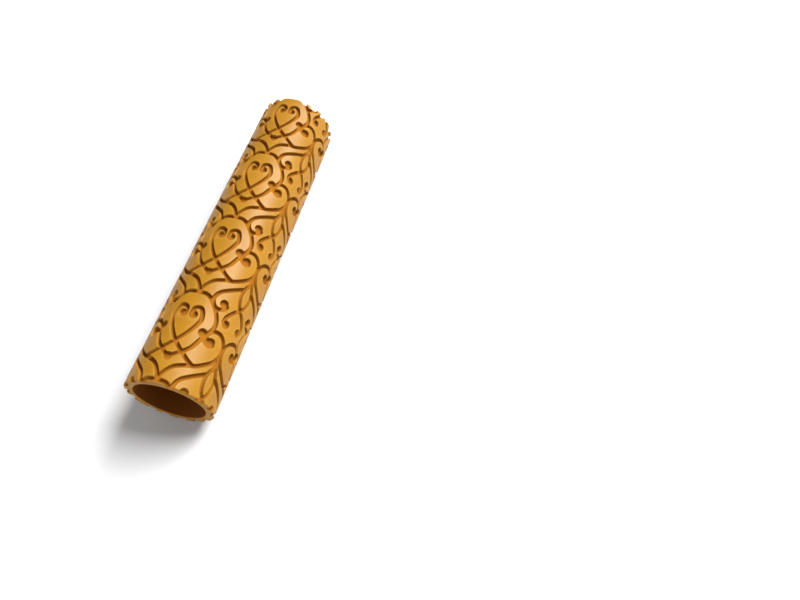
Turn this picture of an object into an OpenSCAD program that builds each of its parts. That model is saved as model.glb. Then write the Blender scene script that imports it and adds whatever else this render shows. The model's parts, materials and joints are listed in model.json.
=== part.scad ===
// Textured pattern roller: a hollow one-piece sleeve that rolls a repeating scroll pattern into clay or
// plaster. The scrollwork is a set of sunk lines in the outer face, so it prints as raised lines.
// Units are millimetres. The roller's axis is +Y, +Z is up, and the origin is in the middle of the bore.

/* [Sleeve] */
// Outer diameter, over the uncut face
outer_d = 35; // [34:1:45]
// Length from end to end
sleeve_l = 152; // [76:38:190]
// Diameter of the open bore
bore_d = 28; // [20:1:28]

/* [Pattern] */
// Length of one repeat along the sleeve
repeat_l = 38; // [34:1:42]
// Depth of the sunk lines
groove_depth = 1.6; // [0.6:0.1:1.8]
// Width of the sunk lines
groove_w = 1.8; // [1:0.1:2]
// Radius of the round dots that end the lines
dot_r = 1.8; // [1.4:0.1:2]
// Angle from straight up to the middle of the first repeat, in degrees
pattern_turn = 3; // [-60:1:60]
// Distance that the first row of repeats starts past the +Y end
row_offset = 1.2; // [0:0.1:10]

/* [Hidden] */
$fn = 96;

outer_r = outer_d / 2;
repeats_round = 3;
repeat_w = PI * outer_d / repeats_round;
rows = ceil(sleeve_l / repeat_l);

// The sunk lines are cut strip by strip. A strip runs the whole length, and is narrow enough to be cut
// straight in without losing much depth at its sides.
strips_per_repeat = 6;
strip_turn = 360 / repeats_round / strips_per_repeat;
strip_w = 2 * outer_r * tan(strip_turn / 2);
cut_over = 1;
strip_overlap = 0.02;
dot_sides = 8;

// The lines of half a repeat, in hundredths of a repeat. x goes round from the repeat's middle line, and y
// goes along from the repeat's head. The other half is the mirror image.
frame_line = [[0, 0], [10.8, 0.6], [20.6, 9.3], [28.4, 20.3], [30.9, 30], [27.5, 40.3], [22.6, 49.6],
    [17.9, 59.6], [10.5, 67.2], [1.6, 73.5]];
side_line = [[36.7, 49], [33, 51.4], [28.3, 49.1], [26.8, 43], [31.1, 36.1], [38.4, 34.6],
    [44.5, 37.9], [48.7, 45], [49.1, 54], [45.7, 62.3], [40.1, 68.1], [30.3, 75], [20.1, 78.6],
    [10, 83.3], [3, 91.8], [0, 100]];
heart_line = [[3, 24.5], [3.8, 19.1], [8.1, 16.7], [12.3, 18.4], [15.5, 27], [14.4, 33.8],
    [10.5, 42.2], [5.3, 50.3], [0, 56.7], [-6, 62.6], [-12.3, 67.7], [-19.4, 72.9], [-26.6, 76.6]];
hook_line = [[44.9, 76.6], [39.8, 80], [29.9, 86.6], [21.5, 93], [17.7, 101], [19.8, 107.8],
    [24.9, 111.2], [31, 109.7], [34.3, 105.4]];
leaf_line = [[50, 61], [48.2, 69], [44.9, 76.6], [44, 86.1], [46, 94.8], [50, 100.3], [54.7, 104.9],
    [58.9, 110.3], [62, 115.3], [63, 120.4]];
half_lines = [frame_line, side_line, heart_line, hook_line, leaf_line];
half_dots = [[0, 74.3], [22.2, 41.2], [33.8, 47], [5.5, 26], [30.2, 103.2], [59.4, 122.3]];

// Where a pattern point lies on the unrolled face: mm round from straight up, and mm along the axis
function on_face(p, side, column, row) = [
    outer_r * pattern_turn * PI / 180 + column * repeat_w + side * p[0] * repeat_w / 100,
    sleeve_l / 2 + row_offset - row * repeat_l - p[1] * repeat_l / 100];

// Unit vector square to a line at its point i
function square_to(line, i) =
    let (along = line[min(i + 1, len(line) - 1)] - line[max(i - 1, 0)])
    [-along[1], along[0]] / norm(along);

// True where a point lies within reach of the strip whose middle is at x
function near_strip(p, x, reach) = abs(p[0] - x) < strip_w / 2 + reach;

// The stretches of one line that cross the strip whose middle is at x, drawn about that middle
module line_in_strip(line, x) {
    for (i = [0:len(line) - 2]) {
        a = line[i];
        b = line[i + 1];
        if (near_strip((a + b) / 2, x, norm(b - a) / 2 + groove_w)) {
            edge_a = square_to(line, i) * groove_w / 2;
            edge_b = square_to(line, i + 1) * groove_w / 2;
            translate([-x, 0]) polygon([a + edge_a, b + edge_b, b - edge_b, a - edge_a]);
        }
    }
}

// All the lines and dots that cross the strip whose middle is at x
module pattern_in_strip(x, column) {
    for (col = [column - 1:column + 1], row = [-2:rows], side = [-1, 1]) {
        for (line = half_lines) line_in_strip([for (p = line) on_face(p, side, col, row)], x);
        for (dot = half_dots) {
            p = on_face(dot, side, col, row);
            if (near_strip(p, x, dot_r)) translate(p - [x, 0]) circle(r = dot_r, $fn = dot_sides);
        }
    }
}

// Cutter for one strip: its part of the pattern, pushed straight in to the groove depth
module strip_cutter(strip) {
    turn = (strip + 0.5) * strip_turn;
    rotate([0, turn, 0])
        translate([0, 0, outer_r - groove_depth])
            linear_extrude(groove_depth + cut_over)
                offset(delta = strip_overlap)
                    intersection() {
                        pattern_in_strip(turn * PI / 180 * outer_r, floor(strip / strips_per_repeat));
                        square([strip_w, sleeve_l + 2 * cut_over], center = true);
                    }
}

module plain_sleeve() {
    rotate([90, 0, 0])
        difference() {
            cylinder(d = outer_d, h = sleeve_l, center = true);
            cylinder(d = bore_d, h = sleeve_l + 2 * cut_over, center = true);
        }
}

// The sleeve with its first strips cut, one after another
module cut_sleeve(strips) {
    if (strips == 0) plain_sleeve();
    else
        difference() {
            cut_sleeve(strips - 1);
            strip_cutter(strips - 1);
        }
}

module roller_sleeve() {
    color("orange") cut_sleeve(strips_per_repeat * repeats_round);
}

roller_sleeve();
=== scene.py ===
"""The textured pattern roller: a hollow orange sleeve with scrollwork sunk into its face."""

import json
import math

import bmesh
import bpy
import numpy as np
from mathutils import Matrix, Vector, geometry, kdtree


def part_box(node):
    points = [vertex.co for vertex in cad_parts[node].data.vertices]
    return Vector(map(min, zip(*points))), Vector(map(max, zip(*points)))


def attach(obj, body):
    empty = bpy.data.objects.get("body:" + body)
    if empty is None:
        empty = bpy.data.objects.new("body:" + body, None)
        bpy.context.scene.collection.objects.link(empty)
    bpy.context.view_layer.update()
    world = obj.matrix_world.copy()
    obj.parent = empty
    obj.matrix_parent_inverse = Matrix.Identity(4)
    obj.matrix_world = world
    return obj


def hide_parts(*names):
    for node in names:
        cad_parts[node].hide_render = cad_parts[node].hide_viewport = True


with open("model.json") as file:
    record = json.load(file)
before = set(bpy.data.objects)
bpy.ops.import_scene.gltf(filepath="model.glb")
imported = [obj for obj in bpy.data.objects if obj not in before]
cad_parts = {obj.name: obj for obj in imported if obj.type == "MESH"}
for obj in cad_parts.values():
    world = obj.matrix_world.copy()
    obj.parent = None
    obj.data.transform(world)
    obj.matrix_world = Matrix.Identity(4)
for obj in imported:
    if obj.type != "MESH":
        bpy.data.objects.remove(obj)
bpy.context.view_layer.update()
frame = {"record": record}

# ---------------------------------------------------------------- sizes, in metres and radians
MM = 0.001
sleeve_low, sleeve_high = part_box("roller_sleeve")
OUTER_R = (sleeve_high[2] - sleeve_low[2]) / 2
HALF_L = (sleeve_high[1] - sleeve_low[1]) / 2
BORE_R = frame["record"]["mounts"][0]["dims"]["r_mm"] * MM

REPEATS_ROUND = 3
REPEAT_W = 2 * math.pi * OUTER_R / REPEATS_ROUND
REPEAT_L = 38 * MM
PATTERN_TURN = math.radians(3)
ROW_OFFSET = 1.2 * MM
ROWS = math.ceil(2 * HALF_L / REPEAT_L)

LINE_HALF_W = 0.92 * MM
DOT_R = 1.82 * MM
GROOVE_DEPTH = 1.6 * MM
EDGE_BREAK = 0.22 * MM

# The cross-section of a sunk line: how far in from its edge, and how deep the face is there.
GROOVE_PROFILE = [
    (-0.06 * MM, 0.0),
    (0.03 * MM, 0.06 * MM),
    (0.08 * MM, 0.22 * MM),
    (0.20 * MM, 1.44 * MM),
    (0.40 * MM, GROOVE_DEPTH),
]

# Colours and finish of the plastic. Each roughness is a range from low to high.
PLASTIC_DARK = (0.275, 0.122, 0.004, 1)
PLASTIC_LIGHT = (0.31, 0.139, 0.005, 1)
# Painted shade: the lines' colour, darker and redder towards their floors, stands in for the shade inside
# them.
PLASTIC_PAINTED_GROOVE_SHADE = (0.27, 0.095, 0.002, 1)
# Painted shade: the bore's darker colour stands in for the shade deep inside it.
PLASTIC_PAINTED_BORE_SHADE = (0.19, 0.052, 0.001, 1)
PLASTIC_RUBBED = (0.38, 0.20, 0.03, 1)
PLASTIC_SPECULAR = 0.25
SATIN_ROUGHNESS = (0.42, 0.5)
SUNK_ROUGHNESS = (0.4, 0.95)

# Noise in the plastic, in cycles a metre, and the relief of its fine grain
CLOUD_SCALE = 55
RUB_SCALE = 240
GLOSS_SCALE = 130
GRAIN_SCALE = 2600
GRAIN_STRENGTH = 0.12
GRAIN_HEIGHT = 0.05 * MM

# The floor
FLOOR_SIZE = 6
FLOOR_SCALE = 3
FLOOR_DARK = (0.66, 0.66, 0.67, 1)
FLOOR_LIGHT = (0.70, 0.70, 0.70, 1)
FLOOR_ROUGHNESS = 0.9

# The camera
CAMERA_AT = (117.3 * MM, -147.3 * MM, 215.1 * MM)
CAMERA_AIM = (74.3 * MM, -14.1 * MM, 0)
CAMERA_ROLL = math.radians(-5.23)
CAMERA_LENS = 28.4

# The two softboxes and the even sky. A softbox's size is its width, then its length along the sleeve.
KEY_DIRECTION = (0.46, 0.50, 0.73)
KEY_DISTANCE = 2.0
KEY_SIZE = (1.0, 1.5)
KEY_POWER = 103
FILL_DIRECTION = (-0.3, -0.9, 0.32)
FILL_DISTANCE = 1.5
FILL_SIZE = (0.7, 0.7)
FILL_POWER = 7
SKY_COLOUR = (1.0, 1.0, 1.0, 1)
SKY_STRENGTH = 0.32

# Spacing of the mesh's points, in the lines, on the land between them and in the bore
CONTOUR_STEP = 0.53 * MM
CONTOUR_PASSES = 4
LAND_STEP = 1.5 * MM
SAMPLE_STEP = 0.05 * MM
BORE_SIDES = 144
BORE_RINGS = 36
MERGE_STEP = 0.002 * MM

# How far a lip's rubbing reaches from the edge of a line, and the least angle of a sharp edge
LIP_REACH = 0.12 * MM
SHARP_ANGLE = math.radians(30)

# The triangulation's tolerance in millimetres, and a length that keeps a division safe
CLOSE_MM = 1e-5
TINY = 1e-9

# ---------------------------------------------------------------- the pattern
# The lines of half a repeat, in hundredths of a repeat. x goes round from the repeat's middle line, and y
# goes along from the repeat's head. The other half is the mirror image.
FRAME_LINE = [(0, 0), (10.8, 0.6), (20.6, 9.3), (28.4, 20.3), (30.9, 30), (27.5, 40.3), (22.6, 49.6),
              (17.9, 59.6), (10.5, 67.2), (1.6, 73.5)]
SIDE_LINE = [(36.7, 49), (33, 51.4), (28.3, 49.1), (26.8, 43), (31.1, 36.1), (38.4, 34.6),
             (44.5, 37.9), (48.7, 45), (49.1, 54), (45.7, 62.3), (40.1, 68.1), (30.3, 75),
             (20.1, 78.6), (10, 83.3), (3, 91.8), (0, 100)]
HEART_LINE = [(3, 24.5), (3.8, 19.1), (8.1, 16.7), (12.3, 18.4), (15.5, 27), (14.4, 33.8),
              (10.5, 42.2), (5.3, 50.3), (0, 56.7), (-6, 62.6), (-12.3, 67.7), (-19.4, 72.9),
              (-26.6, 76.6)]
HOOK_LINE = [(44.9, 76.6), (39.8, 80), (29.9, 86.6), (21.5, 93), (17.7, 101), (19.8, 107.8),
             (24.9, 111.2), (31, 109.7), (34.3, 105.4)]
LEAF_LINE = [(50, 61), (48.2, 69), (44.9, 76.6), (44, 86.1), (46, 94.8), (50, 100.3), (54.7, 104.9),
             (58.9, 110.3), (62, 115.3), (63, 120.4)]
HALF_LINES = [FRAME_LINE, SIDE_LINE, HEART_LINE, HOOK_LINE, LEAF_LINE]
HALF_DOTS = [(0, 74.3), (22.2, 41.2), (33.8, 47), (5.5, 26), (30.2, 103.2), (59.4, 122.3)]


def smooth_curve(points, step):
    """Points at most a step apart along the smooth curve through the given points."""
    p = np.array(points, float)
    ends = np.vstack([p[:1], p, p[-1:]])
    out = []
    for a, b, c, d in zip(ends, ends[1:], ends[2:], ends[3:]):
        t = np.linspace(0, 1, int(np.linalg.norm(c - b) / step) + 2)[:-1, None]
        out.append(0.5 * (2 * b + (c - a) * t + (2 * a - 5 * b + 4 * c - d) * t**2
                          + (3 * b - a - 3 * c + d) * t**3))
    return np.vstack(out + [p[-1:]])


def on_face(points, side, column, row):
    """Pattern points on the unrolled face: metres round from a repeat's middle line, and metres along +Y."""
    p = np.atleast_2d(np.array(points, float))
    across = column * REPEAT_W + side * p[:, 0] * REPEAT_W / 100
    along = HALF_L + ROW_OFFSET - row * REPEAT_L - p[:, 1] * REPEAT_L / 100
    return np.column_stack([across, along])


def pattern_copies():
    """Every mirror image and repeat that can reach the half repeat that is modelled."""
    return [(side, column, row) for side in (-1, 1) for column in (-1, 0, 1) for row in range(-2, ROWS + 1)]


class SunkPattern:
    """Measures how far a point on the unrolled face lies outside the nearest sunk line or dot."""

    def __init__(self, margin):
        step = 100 * SAMPLE_STEP / REPEAT_W
        curves = [smooth_curve(line, step) for line in HALF_LINES]
        samples = np.vstack([on_face(c, *copy) for c in curves for copy in pattern_copies()])
        dots = np.vstack([on_face(HALF_DOTS, *copy) for copy in pattern_copies()])
        self.lines, self.line_tree = self._tree(samples, margin)
        self.dots, self.dot_tree = self._tree(dots, margin)

    @staticmethod
    def _tree(points, margin):
        """The points within a margin of the half repeat that is modelled, and a search tree of them."""
        near = (points[:, 0] > -margin) & (points[:, 0] < REPEAT_W / 2 + margin)
        near &= np.abs(points[:, 1]) < HALF_L + margin
        points = points[near]
        tree = kdtree.KDTree(len(points))
        for i, (x, y) in enumerate(points):
            tree.insert((x, y, 0), i)
        tree.balance()
        return points, tree

    def nearest(self, points):
        """For each point: the signed distance outside the pattern, and the unit direction away from it."""
        distance = np.empty(len(points))
        away = np.empty((len(points), 2))
        for i, (x, y) in enumerate(points):
            at, _, reach = self.line_tree.find((x, y, 0))
            best = reach - LINE_HALF_W
            dot, _, dot_reach = self.dot_tree.find((x, y, 0))
            if dot_reach - DOT_R < best:
                best, at, reach = dot_reach - DOT_R, dot, dot_reach
            distance[i] = best
            size = max(reach, TINY)
            away[i] = ((x - at[0]) / size, (y - at[1]) / size)
        return distance, away


def contour(pattern, level, grid_x, grid_y, field):
    """The outline where the distance field has a level: points about a grid step apart, and their links."""
    inside = field < level
    corners = np.stack([inside[:-1, :-1], inside[1:, :-1], inside[:-1, 1:], inside[1:, 1:]])
    mixed = corners.any(0) & ~corners.all(0)
    index = np.full(mixed.shape, -1)
    index[mixed] = np.arange(mixed.sum())
    cells = np.argwhere(mixed)
    step_x, step_y = grid_x[1] - grid_x[0], grid_y[1] - grid_y[0]
    middle_x = grid_x[0] + (cells[:, 0] + 0.5) * step_x
    middle_y = grid_y[0] + (cells[:, 1] + 0.5) * step_y
    points = np.column_stack([middle_x, middle_y])
    for _ in range(CONTOUR_PASSES):
        distance, away = pattern.nearest(points)
        points = points - away * (distance - level)[:, None]
    links = []
    across_x = inside[:-1, 1:-1] != inside[1:, 1:-1]
    for i, j in np.argwhere(across_x):
        links.append((index[i, j], index[i, j + 1]))
    across_y = inside[1:-1, :-1] != inside[1:-1, 1:]
    for i, j in np.argwhere(across_y):
        links.append((index[i, j], index[i + 1, j]))
    return points, links


def grid_over(low, high, step):
    """Evenly spaced values from a little before low to a little past high."""
    count = math.ceil((high - low) / step)
    return np.linspace(low - step, low + (count + 1) * step, count + 3)


def border(width, half_length, step):
    """The outline of the half repeat: its corners joined by evenly spaced points, and their links."""
    corners = [(0, -half_length), (width, -half_length), (width, half_length), (0, half_length)]
    points = []
    for (x0, y0), (x1, y1) in zip(corners, corners[1:] + corners[:1]):
        count = max(1, round(math.hypot(x1 - x0, y1 - y0) / step))
        points += [(x0 + (x1 - x0) * i / count, y0 + (y1 - y0) * i / count) for i in range(count)]
    return np.array(points), [(i, (i + 1) % len(points)) for i in range(len(points))]


def flat_half_repeat():
    """Half a repeat of the face, unrolled flat: its points, their depths and its triangles."""
    width, half_length = REPEAT_W / 2, HALF_L - EDGE_BREAK
    margin = 4 * CONTOUR_STEP
    pattern = SunkPattern(margin + DOT_R)
    grid_x = grid_over(-CONTOUR_STEP, width + CONTOUR_STEP, CONTOUR_STEP)
    grid_y = grid_over(-half_length - CONTOUR_STEP, half_length + CONTOUR_STEP, CONTOUR_STEP)
    nodes = np.stack(np.meshgrid(grid_x, grid_y, indexing="ij"), -1).reshape(-1, 2)
    field = pattern.nearest(nodes)[0].reshape(len(grid_x), len(grid_y))

    points, links = border(width, half_length, LAND_STEP)
    for inset, _ in GROOVE_PROFILE:
        more, more_links = contour(pattern, -inset, grid_x, grid_y, field)
        links += [(a + len(points), b + len(points)) for a, b in more_links]
        points = np.vstack([points, more])
    land_x = np.arange(LAND_STEP, width - LAND_STEP / 2, LAND_STEP)
    land_y = np.arange(-half_length + LAND_STEP, half_length - LAND_STEP / 2, LAND_STEP)
    land = np.stack(np.meshgrid(land_x, land_y, indexing="ij"), -1).reshape(-1, 2)
    land = land[pattern.nearest(land)[0] > LAND_STEP / 3]
    points = np.vstack([points, land])

    # The triangulation is done in millimetres, because its tolerance is an absolute one.
    corners = [Vector(p) for p in points / MM]
    out, _, triangles, _, _, _ = geometry.delaunay_2d_cdt(corners, links, [], 0, CLOSE_MM)
    out = np.array([tuple(p) for p in out]) * MM
    triangles = np.array([t for t in triangles if len(t) == 3])
    middle = out[triangles].mean(1)
    kept = (middle[:, 0] > 0) & (middle[:, 0] < width) & (np.abs(middle[:, 1]) < half_length)
    triangles = triangles[kept]
    used = np.unique(triangles)
    renumber = np.full(len(out), -1)
    renumber[used] = np.arange(len(used))
    out, triangles = out[used], renumber[triangles]
    insets, depths = zip(*GROOVE_PROFILE)
    distance = pattern.nearest(out)[0]
    return out, np.interp(-distance, insets, depths), distance, triangles


def wrapped_face():
    """The cut face, wrapped right round: its points and triangles, and each point's depth and distance."""
    flat, depth, distance, triangles = flat_half_repeat()
    verts, faces, depths, distances = [], [], [], []
    for column in range(REPEATS_ROUND):
        for side in (-1, 1):
            turn = PATTERN_TURN + (column * REPEAT_W + side * flat[:, 0]) / OUTER_R
            radius = OUTER_R - depth
            faces.append((triangles if side > 0 else triangles[:, ::-1]) + len(flat) * len(depths))
            verts.append(np.column_stack([radius * np.sin(turn), flat[:, 1], radius * np.cos(turn)]))
            depths.append(depth)
            distances.append(distance)
    verts, faces = np.vstack(verts), np.vstack(faces)
    depths, distances = np.concatenate(depths), np.concatenate(distances)

    # The copies share their edges, so points that coincide become one.
    keys = np.round(verts / MERGE_STEP).astype(np.int64)
    _, first, where = np.unique(keys, axis=0, return_index=True, return_inverse=True)
    verts, depths, distances = verts[first], depths[first], distances[first]
    faces = where.reshape(-1)[faces]
    faces = faces[(faces[:, 0] != faces[:, 1]) & (faces[:, 1] != faces[:, 2]) & (faces[:, 2] != faces[:, 0])]
    return verts, faces, depths, distances


def end_loop(verts, faces, end):
    """The open edge of the face at one end, as point numbers in order round the axis."""
    links = np.sort(np.vstack([faces[:, [0, 1]], faces[:, [1, 2]], faces[:, [2, 0]]]), 1)
    unique, count = np.unique(links, axis=0, return_counts=True)
    open_points = np.unique(unique[count == 1])
    open_points = open_points[verts[open_points, 1] * end > 0]
    turn = np.arctan2(verts[open_points, 0], verts[open_points, 2])
    return open_points[np.argsort(turn)]


def join_rings(verts, ring_a, ring_b):
    """Triangles between two closed rings of points, each in order round the axis."""
    turns = []
    for ring in (ring_a, ring_b):
        turn = np.arctan2(verts[ring, 0], verts[ring, 2])
        turns.append(np.append(turn, turn[0] + 2 * math.pi))
    i = j = 0
    triangles = []
    while i < len(ring_a) or j < len(ring_b):
        a, b = ring_a[i % len(ring_a)], ring_b[j % len(ring_b)]
        if j == len(ring_b) or (i < len(ring_a) and turns[0][i + 1] <= turns[1][j + 1]):
            i += 1
            triangles.append((a, ring_a[i % len(ring_a)], b))
        else:
            j += 1
            triangles.append((a, ring_b[j % len(ring_b)], b))
    return np.array(triangles)


def ring_of_points(radius, y):
    """Evenly spaced points of a circle round the axis, in order from straight down."""
    turn = -math.pi + (np.arange(BORE_SIDES) + 0.5) * 2 * math.pi / BORE_SIDES
    return np.column_stack([radius * np.sin(turn), np.full(BORE_SIDES, y), radius * np.cos(turn)])


def close_sleeve(verts, faces):
    """Adds both end rings, with their edges broken, and the bore. Returns all points and triangles."""
    rims = []
    for end in (-1, 1):
        outer = end_loop(verts, faces, end)
        shrink = 1 - EDGE_BREAK / np.hypot(verts[outer, 0], verts[outer, 2])
        edge = np.column_stack([verts[outer, 0] * shrink, np.full(len(outer), end * HALF_L),
                                verts[outer, 2] * shrink])
        mouth = ring_of_points(BORE_R + EDGE_BREAK, end * HALF_L)
        rim = ring_of_points(BORE_R, end * (HALF_L - EDGE_BREAK))
        rings = [outer]
        for more in (edge, mouth, rim):
            rings.append(np.arange(len(more)) + len(verts))
            verts = np.vstack([verts, more])
            faces = np.vstack([faces, join_rings(verts, rings[-2], rings[-1])])
        rims.append(rings[-1])
    inner = HALF_L - EDGE_BREAK
    last = rims[0]
    for y in np.linspace(-inner, inner, BORE_RINGS + 1)[1:-1]:
        ring = np.arange(BORE_SIDES) + len(verts)
        verts = np.vstack([verts, ring_of_points(BORE_R, y)])
        faces = np.vstack([faces, join_rings(verts, last, ring)])
        last = ring
    faces = np.vstack([faces, join_rings(verts, last, rims[1])])
    return verts, faces


def add_sleeve(material):
    """The sleeve as one closed mesh, with how deep each point is sunk and how near it is to a lip.

    The wall of the bore counts as twice fully sunk, which gives it a painted shade darker still.
    """
    verts, faces, depths, distances = wrapped_face()
    face_points = len(verts)
    verts, faces = close_sleeve(verts, faces)
    sunk = np.zeros(len(verts))
    sunk[:face_points] = depths / GROOVE_DEPTH
    # The bore is marked twice sunk so that it takes the painted bore shade.
    sunk[np.hypot(verts[:, 0], verts[:, 2]) < BORE_R + EDGE_BREAK / 2] = 2
    lip = np.zeros(len(verts))
    lip[:face_points] = np.exp(-((distances / LIP_REACH) ** 2))

    mesh = bpy.data.meshes.new("pattern_sleeve")
    mesh.from_pydata(verts.tolist(), [], faces.tolist())
    for name, values in (("sunk", sunk), ("lip", lip)):
        mesh.attributes.new(name, "FLOAT", "POINT").data.foreach_set("value", values.astype(np.float32))
    work = bmesh.new()
    work.from_mesh(mesh)
    bmesh.ops.recalc_face_normals(work, faces=work.faces)
    work.to_mesh(mesh)
    work.free()
    mesh.shade_smooth()
    mesh.set_sharp_from_angle(angle=SHARP_ANGLE)
    mesh.materials.append(material)
    sleeve = bpy.data.objects.new("pattern_sleeve", mesh)
    bpy.context.scene.collection.objects.link(sleeve)
    return sleeve


# ---------------------------------------------------------------- materials
def new_material(name):
    """A new material, with its nodes, its links and its main shader."""
    material = bpy.data.materials.new(name)
    material.use_nodes = True
    nodes, links = material.node_tree.nodes, material.node_tree.links
    return material, nodes, links, nodes["Principled BSDF"]


def node(nodes, kind, **settings):
    """A new node, with its settings and its input values by name."""
    made = nodes.new(kind)
    for key, value in settings.items():
        if key in made.inputs:
            made.inputs[key].default_value = value
        else:
            setattr(made, key, value)
    return made


def mix_colours(nodes, links, factor, first, second):
    """A colour mix. Each of the three inputs is a socket or a plain value."""
    mix = node(nodes, "ShaderNodeMix", data_type="RGBA")
    for socket, value in ((mix.inputs[0], factor), (mix.inputs[6], first), (mix.inputs[7], second)):
        if isinstance(value, bpy.types.NodeSocket):
            links.new(value, socket)
        else:
            socket.default_value = value
    return mix.outputs[2]


def between(nodes, links, value, low, high, to_low, to_high):
    """A value taken from one range to another and held inside it."""
    ranged = nodes.new("ShaderNodeMapRange")
    links.new(value, ranged.inputs["Value"])
    for name, number in (("From Min", low), ("From Max", high), ("To Min", to_low), ("To Max", to_high)):
        ranged.inputs[name].default_value = number
    return ranged.outputs["Result"]


def noise(nodes, links, place, scale, detail=2.0):
    """Noise over the object, with its scale in cycles a metre."""
    made = node(nodes, "ShaderNodeTexNoise", Scale=scale, Detail=detail)
    links.new(place, made.inputs["Vector"])
    return made.outputs["Fac"]


def sleeve_plastic():
    """Satin orange plastic, clouded in tone, with painted shade darkening the lines and a darker painted
    shade in the bore, and paler at the lips.
    """
    material, nodes, links, shader = new_material("sleeve_plastic")
    place = nodes.new("ShaderNodeTexCoord").outputs["Object"]
    sunk = node(nodes, "ShaderNodeAttribute", attribute_name="sunk").outputs["Fac"]
    lip = node(nodes, "ShaderNodeAttribute", attribute_name="lip").outputs["Fac"]

    clouds = between(nodes, links, noise(nodes, links, place, CLOUD_SCALE, 3), 0.35, 0.65, 0, 1)
    colour = mix_colours(nodes, links, clouds, PLASTIC_DARK, PLASTIC_LIGHT)
    # Painted shade: the colour darkens with depth towards the floor of each sunk line.
    colour = mix_colours(nodes, links, between(nodes, links, sunk, 0.05, 0.6, 0, 1), colour, PLASTIC_PAINTED_GROOVE_SHADE)
    # Painted shade: the wall of the bore is darkened further.
    colour = mix_colours(nodes, links, between(nodes, links, sunk, 1, 2, 0, 1), colour, PLASTIC_PAINTED_BORE_SHADE)
    rubbed = node(nodes, "ShaderNodeMath", operation="MULTIPLY")
    patches = between(nodes, links, noise(nodes, links, place, RUB_SCALE), 0.45, 0.7, 0.1, 0.6)
    links.new(lip, rubbed.inputs[0])
    links.new(patches, rubbed.inputs[1])
    colour = mix_colours(nodes, links, rubbed.outputs[0], colour, PLASTIC_RUBBED)
    links.new(colour, shader.inputs["Base Color"])

    dull = node(nodes, "ShaderNodeMath", operation="MAXIMUM")
    satin = between(nodes, links, noise(nodes, links, place, GLOSS_SCALE, 4), 0.3, 0.7, *SATIN_ROUGHNESS)
    links.new(satin, dull.inputs[0])
    links.new(between(nodes, links, sunk, 0.1, 0.6, *SUNK_ROUGHNESS), dull.inputs[1])
    links.new(dull.outputs[0], shader.inputs["Roughness"])
    grain = node(nodes, "ShaderNodeBump", Strength=GRAIN_STRENGTH, Distance=GRAIN_HEIGHT)
    links.new(noise(nodes, links, place, GRAIN_SCALE), grain.inputs["Height"])
    links.new(grain.outputs["Normal"], shader.inputs["Normal"])
    shader.inputs["Specular IOR Level"].default_value = PLASTIC_SPECULAR
    return material


def floor_paper():
    """A plain pale floor."""
    material, nodes, links, shader = new_material("floor_paper")
    place = nodes.new("ShaderNodeTexCoord").outputs["Object"]
    tone = mix_colours(nodes, links, noise(nodes, links, place, FLOOR_SCALE), FLOOR_DARK, FLOOR_LIGHT)
    links.new(tone, shader.inputs["Base Color"])
    shader.inputs["Roughness"].default_value = FLOOR_ROUGHNESS
    return material


# ---------------------------------------------------------------- stage
def add_floor():
    """The floor, at the height of the sleeve's underside."""
    bpy.ops.mesh.primitive_plane_add(size=FLOOR_SIZE, location=(0, 0, sleeve_low[2]))
    floor = bpy.context.object
    floor.name = "floor"
    floor.data.materials.append(floor_paper())


def add_softbox(name, direction, distance, size, power):
    """An area light that faces the sleeve from one direction, with its length along the sleeve's axis."""
    lamp = bpy.data.lights.new(name, "AREA")
    lamp.shape = "RECTANGLE"
    lamp.size, lamp.size_y = size
    lamp.energy = power
    away = Vector(direction).normalized()
    across = Vector((0, 1, 0)).cross(away).normalized()
    turned = Matrix((across, away.cross(across), away)).transposed().to_4x4()
    box = bpy.data.objects.new(name, lamp)
    box.matrix_world = Matrix.Translation(away * distance) @ turned
    bpy.context.scene.collection.objects.link(box)


def add_lights():
    """The key behind the sleeve and to its right, a low fill in front of it, and an even sky."""
    add_softbox("key", KEY_DIRECTION, KEY_DISTANCE, KEY_SIZE, KEY_POWER)
    add_softbox("fill", FILL_DIRECTION, FILL_DISTANCE, FILL_SIZE, FILL_POWER)
    world = bpy.data.worlds.new("studio")
    world.use_nodes = True
    sky = world.node_tree.nodes["Background"].inputs
    sky["Color"].default_value = SKY_COLOUR
    sky["Strength"].default_value = SKY_STRENGTH
    bpy.context.scene.world = world
    bpy.context.scene.view_settings.view_transform = "Standard"


def add_camera():
    """The camera, aimed at a point beside the sleeve and rolled a little."""
    lens = bpy.data.cameras.new("camera")
    lens.sensor_width = 36
    lens.lens = CAMERA_LENS
    lens.clip_start = 0.01
    camera = bpy.data.objects.new("camera", lens)
    look = (Vector(CAMERA_AIM) - Vector(CAMERA_AT)).to_track_quat("-Z", "Y")
    camera.matrix_world = (Matrix.Translation(CAMERA_AT) @ look.to_matrix().to_4x4()
                           @ Matrix.Rotation(CAMERA_ROLL, 4, "Z"))
    bpy.context.scene.collection.objects.link(camera)
    bpy.context.scene.camera = camera


# ---------------------------------------------------------------- the whole scene
add_camera()
add_floor()
add_lights()
sleeve = add_sleeve(sleeve_plastic())
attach(sleeve, "root")
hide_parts("roller_sleeve")
